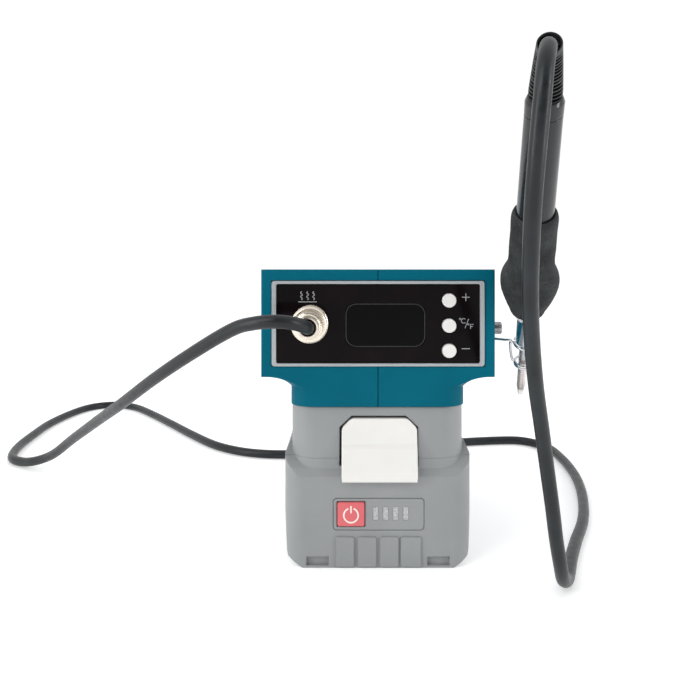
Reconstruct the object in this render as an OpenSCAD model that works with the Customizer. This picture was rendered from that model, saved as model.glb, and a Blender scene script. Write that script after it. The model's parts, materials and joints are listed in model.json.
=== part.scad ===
// Battery soldering station: a T-shaped housing that clips on a slide-on battery pack, with a wire holder
// for the iron on its right side. X to the right, Y to the back, Z up; the origin is the middle of the pack's base.

/* [Housing] */
// Width of the box that carries the panel
house_w = 96; // [94:1:100]
// Depth of the box
house_d = 58; // [54:1:64]
// Height of the top above the table
house_top = 122.3; // [121:0.1:125]
// Height of the box's underside
box_z0 = 78.2; // [77.5:0.1:78.6]
// Width of the neck below the box
neck_w = 72.4; // [71:0.2:73]
// Wall thickness of the housing
wall = 2.2; // [1.8:0.1:2.4]

/* [Battery pack] */
// Width of the pack
pack_w = 77.4; // [76.6:0.2:78]
// Length of the pack
pack_l = 113; // [112:0.5:116]
// Height of the raised block at the pack's front
block_top = 65.6; // [65.3:0.1:65.7]
// Height of the split between the pack's lower and upper case
pack_split = 44.5; // [44.3:0.1:44.7]

/* [Panel] */
// Width of the black panel
panel_w = 83.3; // [82:0.1:83.4]
// Height of the black panel
panel_h = 32.3; // [31.5:0.1:32.4]
// Diameter of the panel buttons
button_d = 5.7; // [5.6:0.1:6.4]
// Diameter of the plug's coupling ring
ring_d = 14.8; // [14.4:0.1:15.2]

/* [Iron] */
// Largest radius of the foam guard
bulb_r = 11.4; // [10.8:0.1:12]
// Radius of the handle tube below its collar
handle_r = 6.3; // [6.1:0.1:6.5]
// Diameter of the cord
cord_d = 5.2; // [4.8:0.1:5.4]

/* [Hidden] */
$fn = 48;
front_y = -pack_l / 2;

// panel layout, x from the centre line and z above the table
panel_z = 100.1;
window_x = 3;
window_z = 99.4;
window_w = 32.6;
window_h = 17.7;
button_x = 29.1;
button_z = [109.6, 99.3, 89.0];
plug_x = -27.6;
plug_z = 100.6;
board_w = 88.8;
board_h = 36.8;

// neck and foot
neck_r = 9;
flare_r = 17.1;
flare_h = 6;
top_fall = 1.7;
foot_len = 101;
foot_front = 35.2;
foot_z0 = 49.6;
neck_z0 = 66;
rail_top = 59.6;
lip_top = 54.6;

// battery pack
deck_z = 49;
block_w = 72;
block_y0 = 1.5;
block_y1 = 34;
block_r = 10.5;
tower_w = 47;
tower_len = 96;
tower_top = 59;
flange_w = 56;
cell_r = 9.15;
cell_len = 65;
cell_y0 = 20.6;
cell_pitch = 18.9;
cell_z = [17.4, 36.2];
blade_x = 12;
gauge_x = 0.25;
gauge_z = 22;
red_x = -11.1;
red_z = 22.1;
light_x = -1;
light_pitch = 4.13;
latch_z0 = 35.4;
latch_top = 61;
latch_x = 0.6;

// iron: its axis starts at the end of the tip and leans towards the front
tip_end = [67, 38, 64];
lean = 42.3;
lean_turn = -98.8;
boot_bend = 32;
boot_bend_r = 34.4;
boot_turn = -7;
boot_t = 158.5;

// holder
hold_y = 20;
hold_z = 96.2;
wire_r = 0.6;

// middle line of the cord, measured from the front plane: the hanging part, then the part that lies on the table
hanging = [
  [48.2, -80.5, 190.35], [47.3, -83.4, 190.55], [46.45, -86.5, 189.9], [45.5, -89.4, 188.3],
  [44.5, -91.9, 185.8], [43.6, -93.9, 182.7], [42.9, -95.2, 179.2], [42.2, -96, 173.5],
  [41.6, -95.9, 167], [41.0, -94.4, 156.5], [40.9, -91, 145], [41.5, -86.3, 134], [43.4, -77, 118],
  [46.7, -66, 101], [50.4, -56.5, 84.5], [54.2, -49.1, 69.2], [57.5, -43.4, 54.2],
  [60.5, -39.2, 39.2], [63.1, -35.4, 25.2], [65.8, -31.2, 14.3], [68.7, -24.8, 6.4],
  [72.9, -15.8, 2.75], [75.9, -8.3, 2.7], [76.2, -7.4, 2.7]
];
lying = [
  [76.5, -6.6, 2.7], [80.4, 3.8, 2.7], [88, 22, 2.7], [97, 42, 2.7], [104, 62, 2.7],
  [111, 88, 2.7], [116, 116, 2.7], [118, 146, 2.7], [116, 172, 2.7], [104, 189, 2.7],
  [84, 190, 2.7], [50, 183, 2.7], [15, 173, 2.7], [-20, 163, 2.7], [-50, 157, 2.7],
  [-75, 161, 2.7], [-98, 177, 2.7], [-120, 205, 2.7], [-143, 238, 2.7], [-166, 270, 2.7],
  [-186, 294, 2.7], [-205, 303, 2.7], [-220, 296, 2.7], [-228, 276, 2.7], [-232, 240, 2.7],
  [-230, 204, 2.7], [-226, 172, 2.7], [-218, 148, 2.7], [-203, 136, 4], [-185, 125, 11],
  [-163, 101, 27], [-139, 69, 44], [-116, 36, 60], [-94, 10, 76], [-73, -10, 90],
  [-56, -24, 100.2], [-47, -30.1, 103.2], [-39, -32.7, 104.1], [-33.2, -31.2, 103.5],
  [-29.2, -27.4, 102.0], [-27.6, -22.7, 100.7], [-27.6, -19.4, 100.6]
];

// ---- helpers ----

// measured from the front plane
module at_front() { translate([0, front_y, 0]) children(); }

// an outline in X and Z, carried along Y
module along_y(y0, y1) {
  translate([0, y1, 0]) rotate([90, 0, 0]) linear_extrude(y1 - y0) children();
}

// an outline in Y and Z, carried along X
module along_x(x0, x1) {
  translate([x0, 0, 0]) rotate([90, 0, 90]) linear_extrude(x1 - x0) children();
}

module along_z(z0, z1) { translate([0, 0, z0]) linear_extrude(z1 - z0) children(); }

module block(x0, x1, y0, y1, z0, z1) {
  translate([x0, y0, z0]) cube([x1 - x0, y1 - y0, z1 - z0]);
}

// rounded rectangle between two corners
module pad(x0, x1, z0, z1, r) {
  translate([x0 + r, z0]) square([x1 - x0 - 2 * r, z1 - z0]);
  translate([x0, z0 + r]) square([x1 - x0, z1 - z0 - 2 * r]);
  for (x = [x0 + r, x1 - r]) for (z = [z0 + r, z1 - r]) translate([x, z]) circle(r);
}

// cylinder along Y
module bar_y(x, z, y0, y1, r) { translate([x, y1, z]) rotate([90, 0, 0]) cylinder(h = y1 - y0, r = r); }

// cylinder along X
module bar_x(y, z, x0, x1, r) { translate([x0, y, z]) rotate([0, 90, 0]) cylinder(h = x1 - x0, r = r); }

// straight rod between two points
module rod(a, b, r) {
  d = b - a;
  translate(a) rotate([0, acos(d[2] / norm(d)), atan2(d[1], d[0])]) cylinder(h = norm(d), r = r);
}

module torus(big, small) { rotate_extrude() translate([big, 0]) circle(small); }

// stands on the iron's axis, z counted from the end of the tip
module on_iron() { translate(tip_end) rotate([0, lean, lean_turn]) children(); }

// ring-shaped piece about the iron's axis
module tube_t(t0, t1, ro, ri) {
  translate([0, 0, t0]) difference() {
    cylinder(h = t1 - t0, r = ro);
    translate([0, 0, -1]) cylinder(h = t1 - t0 + 2, r = ri);
  }
}

// a point on the smooth line through the points p, u counted in spans
function on_line(p, u) = let (
  n = len(p) - 1, i = min(floor(u), n - 1), t = u - i,
  a = p[max(i - 1, 0)], b = p[i], c = p[i + 1], d = p[min(i + 2, n)]
) (2 * b + (c - a) * t + (2 * a - 5 * b + 4 * c - d) * t * t + (3 * b - a - 3 * c + d) * t * t * t) / 2;

function smooth(p, rings) = [for (i = [0:rings - 1]) on_line(p, i * (len(p) - 1) / (rings - 1))];
function unit(v) = v / norm(v);
function heading(p, i) = unit(p[min(i + 1, len(p) - 1)] - p[max(i - 1, 0)]);
function sides_of(p, i, last) = i == len(p) ? [] : let (
  h = heading(p, i), s = unit(last - (last * h) * h)
) concat([s], sides_of(p, i + 1, s));

// round tube along the points p
module tube_along(p, r, start, n = 10) {
  s = sides_of(p, 0, start);
  m = len(p);
  pts = [for (i = [0:m - 1]) for (k = [0:n - 1]) let (h = heading(p, i))
    p[i] + r * (cos(360 * k / n) * s[i] + sin(360 * k / n) * cross(h, s[i]))];
  skin = [for (i = [0:m - 2]) for (k = [0:n - 1]) let (a = i * n + k, b = i * n + (k + 1) % n)
    each [[a, a + n, b + n], [a, b + n, b]]];
  ends = [[for (k = [0:n - 1]) k], [for (k = [n - 1:-1:0]) (m - 1) * n + k]];
  polyhedron(points = pts, faces = concat(skin, ends), convexity = 6);
}

// ---- housing ----

// the box in front view with the flared underside, d inside the outer skin
module box_outline(d) {
  translate([-(house_w / 2 - d), box_z0 + d]) square([house_w - 2 * d, house_top - box_z0 - 2 * d]);
  difference() {
    w = house_w / 2;
    translate([-w, box_z0 - flare_h]) square([2 * w, flare_h + d + 0.01]);
    for (s = [-1, 1]) translate([s * w, box_z0 - flare_r]) circle(flare_r + d);
  }
}

// the neck's rounded plan, d inside the outer skin
module neck_plan(d, y1) {
  pad(-neck_w / 2 + d, neck_w / 2 - d, d, y1 - d, neck_r - d);
}

// the flare around one front corner of the neck
module corner_flare(d) {
  reach = house_w / 2 - neck_w / 2 + neck_r;
  for (s = [-1, 1]) translate([s * (neck_w / 2 - neck_r), neck_r, box_z0 - flare_h]) rotate_extrude()
    difference() {
      square([reach, flare_h + d]);
      translate([reach, flare_h - flare_r]) circle(flare_r + d);
    }
}

// the whole skin of the housing, d inside the outer skin
module housing_form(d, z0) {
  // box
  intersection() {
    along_y(d, house_d - d) difference() {
      box_outline(d);
      translate([-house_w, box_z0 - flare_r - 1]) square([2 * house_w, flare_r + 1]);
    }
    along_x(-60, 60) polygon([
      [d, box_z0 - 20], [house_d - d, box_z0 - 20], [house_d - d, house_top - top_fall - 1 - d],
      [house_d - d - 1, house_top - top_fall - d], [d + 0.5, house_top - d], [d, house_top - 0.5 - d]
    ]);
    along_z(0, 200) pad(-house_w / 2 + d, house_w / 2 - d, d, house_d - d, max(0.8 - d, 0.5));
  }
  // flare: beside the neck along its length, and round both front corners
  intersection() {
    union() {
      along_y(neck_r, house_d - d) box_outline(d);
      corner_flare(d);
      block(-(neck_w / 2 - neck_r), neck_w / 2 - neck_r, d, house_d - d, box_z0 - flare_h, box_z0 + d);
    }
    block(-house_w / 2 + d, house_w / 2 - d, d, house_d - d, box_z0 - flare_h, box_z0 + d + 0.01);
  }
  // neck and tail
  intersection() {
    along_z(z0, box_z0 + d) neck_plan(d, foot_len);
    along_x(-60, 60) polygon([
      [0, 0], [foot_len, 0], [foot_len, 66 - d], [foot_len - 7, 74 - d], [house_d, box_z0 - d * 0.5],
      [house_d - d, box_z0 + d], [0, box_z0 + d]
    ]);
  }
}

module screw_tunnel(y, z, x0, x1) {
  bar_x(y, z, x0, x1, 4.2);
}

boss_spots = [[50.5, 115.5], [50.5, 86], [16, 73.5], [91, 67.5]];

module housing_solid() {
  difference() {
    union() {
      difference() {
        housing_form(0, neck_z0);
        housing_form(wall, neck_z0 + wall);
      }
      // foot behind the pack's raised block
      difference() {
        intersection() {
          along_z(foot_z0, neck_z0 + wall) neck_plan(0, foot_len);
          block(-60, 60, foot_front, foot_len, foot_z0, neck_z0 + wall);
        }
        // room above the rails
        block(-neck_w / 2 + wall, neck_w / 2 - wall, foot_front + wall, foot_len - 6, rail_top + wall, 80);
        // T-shaped channel, open to the front
        block(-flange_w / 2 - 0.5, flange_w / 2 + 0.5, 0, foot_len - wall, lip_top, rail_top);
        block(-tower_w / 2 - 0.5, tower_w / 2 + 0.5, 0, foot_len - wall, 0, lip_top + 0.01);
      }
      // screw bosses across both halves
      for (p = boss_spots) intersection() {
        bar_x(p[0], p[1], -60, 60, 4.2);
        housing_form(0.5, neck_z0);
      }
      // boss for the holder's screw
      bar_x(hold_y, hold_z, house_w / 2 - 9, house_w / 2 - 1, 4.2);
    }
    // opening for the panel frame
    block(-43.8, 43.8, -1, wall + 0.5, panel_z - 17.7, panel_z + 17.7);
    // opening for the terminal block
    block(-18, 18, 74, 98, rail_top - 1, rail_top + wall + 1);
    // screw tunnels from the left
    for (p = boss_spots) {
      bar_x(p[0], p[1], -60, -9.9, 3.1);
      bar_x(p[0], p[1], -60, 0.1, 1.65);
      bar_x(p[0], p[1], -0.1, 11, 1.5);
    }
    // hole for the holder's screw
    bar_x(hold_y, hold_z, house_w / 2 - 8.2, 60, 1.5);
    // groove along the joint between the halves
    intersection() {
      block(-0.22, 0.22, -5, 120, 60, 130);
      difference() {
        housing_form(-0.5, 60);
        housing_form(0.35, 60);
      }
    }
    // vents in the back
    for (i = [0:6]) for (s = [-1, 1])
      block(s * 24 - 15, s * 24 + 15, house_d - wall - 1, house_d + 1, 88 + i * 4.4, 90 + i * 4.4);
  }
}

module housing_left() {
  color([0.01, 0.12, 0.19]) at_front() intersection() {
    housing_solid();
    block(-60, 0, -5, 120, 0, 200);
  }
}

module housing_right() {
  color([0.01, 0.12, 0.19]) at_front() intersection() {
    housing_solid();
    block(0, 60, -5, 120, 0, 200);
  }
}

module housing_screws() {
  color([0.2, 0.2, 0.21]) at_front() for (p = boss_spots) difference() {
    union() {
      bar_x(p[0], p[1], -12.4, -9.9, 2.8);
      bar_x(p[0], p[1], -10, 10, 1.5);
    }
    translate([-12.5, p[0], p[1]]) rotate([0, 90, 0]) cylinder(h = 1.4, r = 1.5, $fn = 6);
  }
}

// ---- front panel ----

module panel_frame() {
  color([0.55, 0.58, 0.6]) at_front() difference() {
    union() {
      along_y(-0.6, wall + 0.1) pad(-43.6, 43.6, panel_z - 17.5, panel_z + 17.5, 1.2);
      along_y(wall + 0.1, wall + 1.3) pad(-45.2, 45.2, panel_z - 19, panel_z + 19, 1.2);
    }
    along_y(-1, 1.9) pad(-panel_w / 2 - 0.1, panel_w / 2 + 0.1, panel_z - panel_h / 2 - 0.1, panel_z + panel_h / 2 + 0.1, 0.8);
    along_y(1, 5) pad(-40, 40, panel_z - 15.2, panel_z + 15.2, 1);
  }
}

module front_panel() {
  color([0.02, 0.02, 0.022]) at_front() difference() {
    along_y(0.2, 1.8) pad(-panel_w / 2, panel_w / 2, panel_z - panel_h / 2, panel_z + panel_h / 2, 0.8);
    along_y(-1, 5) pad(window_x - window_w / 2, window_x + window_w / 2, window_z - window_h / 2, window_z + window_h / 2, 3.6);
    for (z = button_z) bar_y(button_x, z, -1, 5, button_d / 2 + 0.3);
    bar_y(plug_x, plug_z, -1, 5, 6);
  }
}

module display_lens() {
  color([0.01, 0.01, 0.012]) at_front() along_y(0.3, 1.7)
    pad(window_x - window_w / 2 + 0.1, window_x + window_w / 2 - 0.1, window_z - window_h / 2 + 0.1, window_z + window_h / 2 - 0.1, 3.5);
}

module display_module() {
  color([0.05, 0.07, 0.06]) at_front() {
    block(window_x - 17.5, window_x + 17.5, 1.9, 4.6, window_z - 9.8, window_z + 9.8);
    block(window_x - 19.5, window_x + 19.5, 4.6, 5.8, window_z - 12.5, window_z + 12.5);
    block(window_x - 16, window_x + 16, 5.8, 9.2, window_z - 12.3, window_z - 10.2);
  }
}

module control_board() {
  color([0.02, 0.2, 0.1]) at_front() {
    difference() {
      block(-board_w / 2, board_w / 2, 9.2, 10.8, panel_z - board_h / 2, panel_z + board_h / 2);
      bar_y(plug_x, plug_z, 5, 15, 7.2);
      for (s = [-1, 1]) for (t = [-1, 1]) bar_y(s * 42.4, panel_z + t * 16.4, 5, 15, 1.3);
    }
    block(-10, 2, 10.8, 12.4, 92, 104);
    block(10, 18, 10.8, 14.8, 88, 96);
    for (i = [0:2]) bar_y(8 + 9 * i, 111, 10.8, 19, 3.5);
  }
}

module tact_switches() {
  color([0.12, 0.12, 0.12]) at_front() for (z = button_z) {
    block(button_x - 3, button_x + 3, 5.6, 9.2, z - 3, z + 3);
    bar_y(button_x, z, 4.75, 5.6, 1.7);
  }
}

module board_standoffs() {
  color([0.6, 0.5, 0.3]) at_front() for (s = [-1, 1]) for (t = [-1, 1]) difference() {
    bar_y(s * 42.4, panel_z + t * 16.4, wall + 1.3, 9.2, 1.9);
    bar_y(s * 42.4, panel_z + t * 16.4, 5.2, 10, 1.2);
  }
}

module board_screws() {
  color([0.5, 0.5, 0.5]) at_front() for (s = [-1, 1]) for (t = [-1, 1]) {
    bar_y(s * 42.4, panel_z + t * 16.4, 10.8, 12.2, 1.9);
    bar_y(s * 42.4, panel_z + t * 16.4, 5.3, 10.9, 1.15);
  }
}

module button_piece(z) {
  at_front() {
    bar_y(button_x, z, -1.5, 2.1, button_d / 2);
    bar_y(button_x, z, 2.05, 2.8, button_d / 2 + 0.9);
    bar_y(button_x, z, 2.8, 3.9, 1.6);
  }
}

module button_plus() { color([0.86, 0.85, 0.82]) button_piece(button_z[0]); }
module button_unit() { color([0.86, 0.85, 0.82]) button_piece(button_z[1]); }
module button_minus() { color([0.86, 0.85, 0.82]) button_piece(button_z[2]); }

// ---- socket and plug ----

module socket_body() {
  color([0.7, 0.66, 0.6]) at_front() difference() {
    union() {
      bar_y(plug_x, plug_z, -8, 11.5, 5.85);
      bar_y(plug_x, plug_z, -1.2, 0.15, 7.2);
    }
    bar_y(plug_x, plug_z, -9, 1, 4.9);
    bar_y(plug_x, plug_z, 0.9, 13, 4.6);
  }
}

module socket_nut() {
  color([0.7, 0.68, 0.64]) at_front() difference() {
    translate([plug_x, 4.1, plug_z]) rotate([90, 0, 0]) cylinder(h = 2.2, r = 8, $fn = 6);
    bar_y(plug_x, plug_z, 0, 6, 5.9);
  }
}

module socket_insert() {
  color([0.05, 0.05, 0.05]) at_front() difference() {
    bar_y(plug_x, plug_z, 1, 10, 4.55);
    for (k = [0:4]) bar_y(plug_x + 2.6 * cos(72 * k), plug_z + 2.6 * sin(72 * k), 0, 11, 0.55);
  }
}

module socket_pins() {
  color([0.8, 0.65, 0.3]) at_front() for (k = [0:4])
    bar_y(plug_x + 2.6 * cos(72 * k), plug_z + 2.6 * sin(72 * k), -3.6, 13.5, 0.5);
}

module plug_ring() {
  color([0.72, 0.68, 0.62]) at_front() difference() {
    union() {
      bar_y(plug_x, plug_z, -11.5, -1.9, ring_d / 2 - 0.35);
      bar_y(plug_x, plug_z, -10.3, -8.1, ring_d / 2);
      bar_y(plug_x, plug_z, -5.2, -2.6, ring_d / 2);
    }
    bar_y(plug_x, plug_z, -10.2, -1, 5.93);
    bar_y(plug_x, plug_z, -12, -10, 5.0);
  }
}

module plug_shell() {
  color([0.72, 0.68, 0.62]) at_front() difference() {
    union() {
      bar_y(plug_x, plug_z, -11.7, -1.2, 4.84);
      bar_y(plug_x, plug_z, -9.9, -8.7, 5.8);
      bar_y(plug_x, plug_z, -18, -11.7, 5.5);
      bar_y(plug_x, plug_z, -19.2, -18, 4.9);
    }
    bar_y(plug_x, plug_z, -20, 0, 3.6);
  }
}

module plug_insert() {
  color([0.06, 0.06, 0.06]) at_front() difference() {
    bar_y(plug_x, plug_z, -9, -0.6, 3.55);
    for (k = [0:4]) bar_y(plug_x + 2.6 * cos(72 * k), plug_z + 2.6 * sin(72 * k), -4, 0, 0.6);
  }
}

module plug_clamp() {
  color([0.7, 0.67, 0.6]) at_front() difference() {
    union() {
      bar_y(plug_x, plug_z, -22, -17.2, 3.55);
      bar_y(plug_x, plug_z, -22, -19.2, 4.2);
    }
    bar_y(plug_x, plug_z, -23, -19.1, 2.75);
    translate([plug_x, -20.8, plug_z]) rotate([90, 0, 0]) cylinder(h = 1.3, r1 = 2.75, r2 = 3.25);
  }
}

// ---- battery contact of the station ----

module terminal_block() {
  color([0.08, 0.08, 0.08]) at_front() difference() {
    block(-17.8, 17.8, 74.2, 94.8, rail_top + 0.1, neck_z0 - 1.6);
    for (s = [-1, 1]) block(s * blade_x - 0.45, s * blade_x + 0.45, 77.9, 92.1, 50, 64);
  }
}

module terminal_blades() {
  color([0.75, 0.6, 0.35]) at_front() for (s = [-1, 1])
    block(s * blade_x - 0.4, s * blade_x + 0.4, 78, 92, 51.5, 63.9);
}

// ---- holder ----

module holder_screw() {
  color([0.5, 0.5, 0.5]) at_front() difference() {
    union() {
      bar_x(hold_y, hold_z, 50.1, 54.5, 2.7);
      bar_x(hold_y, hold_z, 40.2, 50.2, 1.45);
    }
    translate([52.6, hold_y, hold_z]) rotate([0, 90, 0]) cylinder(h = 3, r = 1.6, $fn = 6);
  }
}

module holder_washer() {
  color([0.7, 0.7, 0.7]) at_front() difference() {
    bar_x(hold_y, hold_z, 49.4, 50.1, 3.1);
    bar_x(hold_y, hold_z, 49, 51, 1.55);
  }
}

function from_iron(x, y, t) = let (
  e = [cos(lean) * cos(lean_turn), cos(lean) * sin(lean_turn), -sin(lean)],
  f = [-sin(lean_turn), cos(lean_turn), 0],
  g = [sin(lean) * cos(lean_turn), sin(lean) * sin(lean_turn), cos(lean)]
) tip_end + x * e + y * f + t * g;

module holder_wire() {
  elbow = from_iron(0, -6, 37.3);
  heel = from_iron(0, -4.9, 24);
  drop = [48.72, hold_y - 2.25, hold_z - 4.4];
  color([0.75, 0.75, 0.76]) at_front() {
    translate([48.72, hold_y, hold_z]) rotate([0, 90, 0]) torus(2.25, wire_r);
    rod([48.72, hold_y - 2.25, hold_z - 0.7], drop, 0.55);
    translate(drop) sphere(r = 0.75);
    rod(drop, elbow, 0.55);
    translate(elbow) sphere(r = 0.7);
    rod(elbow, from_iron(1.5, -4, 36.2), 0.55);
    rod(elbow, heel, 0.55);
    translate(heel) sphere(r = 0.7);
    rod(heel, from_iron(0.8, -3.4, 24), 0.55);
    on_iron() translate([0, 0, 36.2]) torus(4.25, wire_r);
    on_iron() translate([0, 0, 24]) torus(3.5, wire_r);
    on_iron() translate([0, 0, 23]) torus(3.5, wire_r);
  }
}

// ---- battery pack ----

module case_outline(d) {
  half = [[31 - 0.4 * d, d], [37.2 - 0.9 * d, 3.9 + 0.6 * d], [37.7 - d, 5.8 + 0.3 * d], [pack_w / 2 - d, 25], [pack_w / 2 - d, pack_split]];
  polygon(concat(half, [for (i = [4:-1:0]) [-half[i][0], half[i][1]]]));
}

module pack_plan(d) { pad(-pack_w / 2 + d, pack_w / 2 - d, d, pack_l - d, 8 - d); }

// the raised block in plan, d inside its outer skin
module block_plan(d, y1) { pad(-block_w / 2 + d, block_w / 2 - d, block_y0 + d, y1, block_r - d); }

// what slopes away in front of the raised block and beside its corners
module shoulder_cut() {
  difference() {
    along_x(-60, 60) polygon([[-5, 37.3], [0, 37.3], [block_y0, 40.3], [11.8, deck_z], [11.8, 90], [-5, 90]]);
    along_z(30, 90) block_plan(0, block_y1 + 12);
  }
}

module latch_pocket(g) {
  along_y(-5, 9 + g) translate([0.4, 0]) polygon([
    [-16.2 - g, 41.4 - g], [16.2 + g, 41.4 - g], [16.2 + g, 57.3 + 0.4 * g], [11.2 + 0.4 * g, 62 + g],
    [-11.2 - 0.4 * g, 62 + g], [-16.2 - g, 57.3 + 0.4 * g]
  ]);
}

case_bosses = [[-29, 6], [29, 6], [-29, 109], [29, 109]];

module battery_lower_case() {
  color([0.3, 0.32, 0.33]) at_front() difference() {
    union() {
      difference() {
        intersection() {
          along_y(0, pack_l) case_outline(0);
          along_z(0, pack_split) pack_plan(0);
        }
        intersection() {
          along_y(0, pack_l) translate([0, 0.01]) case_outline(2.2);
          along_z(0, 100) pack_plan(2.2);
          // solid behind the shoulders
          block(-60, 60, 0, 120, 0, 34);
        }
        intersection() {
          along_y(11, pack_l) translate([0, 0.01]) case_outline(2.2);
          along_z(0, 100) pack_plan(2.2);
        }
        block(-pack_w / 2 + 2.2 + 6, pack_w / 2 - 2.2 - 6, 11, pack_l - 8.2, 30, 60);
      }
      // pocket of the latch
      intersection() {
        latch_pocket(1.6);
        along_z(0, pack_split) pack_plan(0);
      }
      // screw bosses
      for (p = case_bosses) intersection() {
        translate([p[0], p[1], 1]) cylinder(h = pack_split - 1.2, r = 3.2);
        along_y(0.5, pack_l - 0.5) case_outline(0.5);
      }
      // raised panels low on the front
      intersection() {
        for (x = [[-17.3, -9.8], [-8.3, -0.7], [0.8, 8.4], [9.3, 17.6]]) along_y(-0.6, 1) pad(x[0], x[1], 0.6, 12.8, 0.8);
        block(-40, 40, -2, 5, 0, 40);
      }
    }
    latch_pocket(0);
    // recess and windows of the gauge
    along_y(-1, 1.3) pad(gauge_x - 18.7, gauge_x + 18.7, gauge_z - 6.6, gauge_z + 6.6, 1.6);
    block(red_x - 6.1, red_x + 6.1, -1, 3, red_z - 5.4, red_z + 5.4);
    for (i = [0:3]) block(light_x + i * light_pitch - 1.1, light_x + i * light_pitch + 1.1, -1, 3, 19.6, 25);
    // finger notches at the bottom corners
    for (s = [-1, 1]) block(s * 24.8 - 4.6, s * 24.8 + 4.6, -1, 1.4, 1.0, 4.6);
    // screws
    for (p = case_bosses) {
      translate([p[0], p[1], -1]) cylinder(h = 8, r = 2.9);
      translate([p[0], p[1], 5]) cylinder(h = 60, r = 1.6);
    }
    shoulder_cut();
  }
}

module deck_outline(d) {
  w = pack_w / 2 - d;
  polygon([[-w, pack_split], [w, pack_split], [w, pack_split + 0.6], [w - 1.6, deck_z - d], [-w + 1.6, deck_z - d], [-w, pack_split + 0.6]]);
}

module tower_outline(d) {
  translate([-tower_w / 2 + d, 40]) square([tower_w - 2 * d, tower_top - d - 40]);
  if (d == 0) translate([-flange_w / 2, 55]) square([flange_w, tower_top - 55]);
}

module battery_upper_case() {
  color([0.3, 0.32, 0.33]) at_front() difference() {
    union() {
      difference() {
        union() {
          intersection() {
            along_y(0, pack_l) deck_outline(0);
            along_z(0, 100) pack_plan(0);
          }
          along_z(pack_split, block_top) block_plan(0, block_y1 + 12);
          intersection() {
            along_y(30, tower_len) tower_outline(0);
            block(-60, 60, 30, tower_len, pack_split + 1, 80);
          }
        }
        // behind the raised block only the tower stands
        difference() {
          block(-60, 60, block_y1, 150, deck_z, 90);
          along_y(20, tower_len) tower_outline(0);
        }
        // hollows: under the deck, in the block and in the tower
        intersection() {
          along_y(14, pack_l - 2.2) translate([0, -0.01]) deck_outline(2.2);
          along_z(0, 100) pack_plan(2.2);
        }
        along_z(pack_split - 1, block_top - 2.2) block_plan(2.2, block_y1 + 8);
        block(-tower_w / 2 + 2.2, tower_w / 2 - 2.2, 20, tower_len - 2.2, pack_split - 1, tower_top - 2.2);
      }
      // back wall of the raised block
      block(-block_w / 2 + 1, block_w / 2 - 1, block_y1 - 2.2, block_y1, deck_z - 2.2, block_top - 1);
      // pocket of the latch
      intersection() {
        latch_pocket(1.6);
        block(-60, 60, block_y0 + 0.5, 30, pack_split, 80);
      }
      // bosses that take the case screws
      for (p = case_bosses) translate([p[0], p[1], pack_split]) cylinder(h = deck_z - pack_split - 1, r = 3.2);
    }
    latch_pocket(0);
    shoulder_cut();
    // slots for the station's blades, open to the back
    for (s = [-1, 1]) block(s * blade_x - 1, s * blade_x + 1, 74, tower_len + 1, 50.5, 70);
    // passage from the tower to the cells
    block(-tower_w / 2 + 2.2, tower_w / 2 - 2.2, 38, tower_len - 2.2, pack_split - 1, 52);
    for (p = case_bosses) translate([p[0], p[1], 40]) cylinder(h = 7.5, r = 1.3);
  }
}

module battery_cells() {
  color([0.1, 0.3, 0.5]) at_front() for (i = [0:4]) for (z = cell_z)
    bar_x(cell_y0 + i * cell_pitch, z, -cell_len / 2, cell_len / 2, cell_r);
}

module cell_combs() {
  color([0.1, 0.1, 0.1]) at_front() for (s = [-1, 1]) difference() {
    block(s * 26.8 - 3, s * 26.8 + 3, 11.2, 105.5, 6.6, 44.6);
    for (i = [0:4]) for (z = cell_z) bar_x(cell_y0 + i * cell_pitch, z, -40, 40, cell_r + 0.05);
  }
}

module cell_links() {
  color([0.8, 0.8, 0.78]) at_front() for (s = [-1, 1]) for (i = [0:4])
    block(s * (cell_len / 2 + 0.15) - 0.15, s * (cell_len / 2 + 0.15) + 0.15, cell_y0 + i * cell_pitch - 4, cell_y0 + i * cell_pitch + 4, 12, 41);
}

module battery_board() {
  color([0.02, 0.2, 0.1]) at_front() {
    block(-20, 20, 40, 92, 46.2, 47.6);
    block(-6, 4, 50, 60, 47.6, 49.4);
    block(8, 16, 48, 60, 47.6, 50.2);
  }
}

module battery_contacts() {
  color([0.75, 0.6, 0.35]) at_front() for (s = [-1, 1]) {
    block(s * blade_x - 3, s * blade_x + 3, 79, 91, 47.6, 48.2);
    for (t = [-1, 1]) block(s * blade_x + t * 0.75 - 0.2, s * blade_x + t * 0.75 + 0.2, 80, 90, 48.1, 56.5);
  }
}

module gauge_plate() {
  color([0.28, 0.3, 0.31]) at_front() difference() {
    along_y(-0.15, 1.25) pad(gauge_x - 18.5, gauge_x + 18.5, gauge_z - 6.4, gauge_z + 6.4, 1.5);
    block(red_x - 5.85, red_x + 5.85, -1, 3, red_z - 5.2, red_z + 5.2);
    for (i = [0:3]) block(light_x + i * light_pitch - 1.05, light_x + i * light_pitch + 1.05, -1, 3, 19.65, 24.95);
  }
}

module gauge_lights() {
  color([0.85, 0.85, 0.82]) at_front() for (i = [0:3])
    block(light_x + i * light_pitch - 1, light_x + i * light_pitch + 1, -0.2, 6.6, 19.7, 24.9);
}

module gauge_board() {
  color([0.02, 0.2, 0.1]) at_front() {
    block(-17, 17, 6.8, 8, 15.5, 28.5);
    block(red_x - 3, red_x + 3, 4.6, 6.8, red_z - 3, red_z + 3);
    bar_y(red_x, red_z, 4.15, 4.65, 1.5);
  }
}

module battery_button() {
  color([0.8, 0.2, 0.22]) at_front() {
    along_y(-0.7, 2.35) pad(red_x - 5.55, red_x + 5.55, red_z - 4.9, red_z + 4.9, 0.8);
    along_y(2.3, 3.0) pad(red_x - 6.4, red_x + 6.4, red_z - 5.8, red_z + 5.8, 0.8);
    bar_y(red_x, red_z, 2.9, 3.25, 1.6);
  }
}

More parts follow.
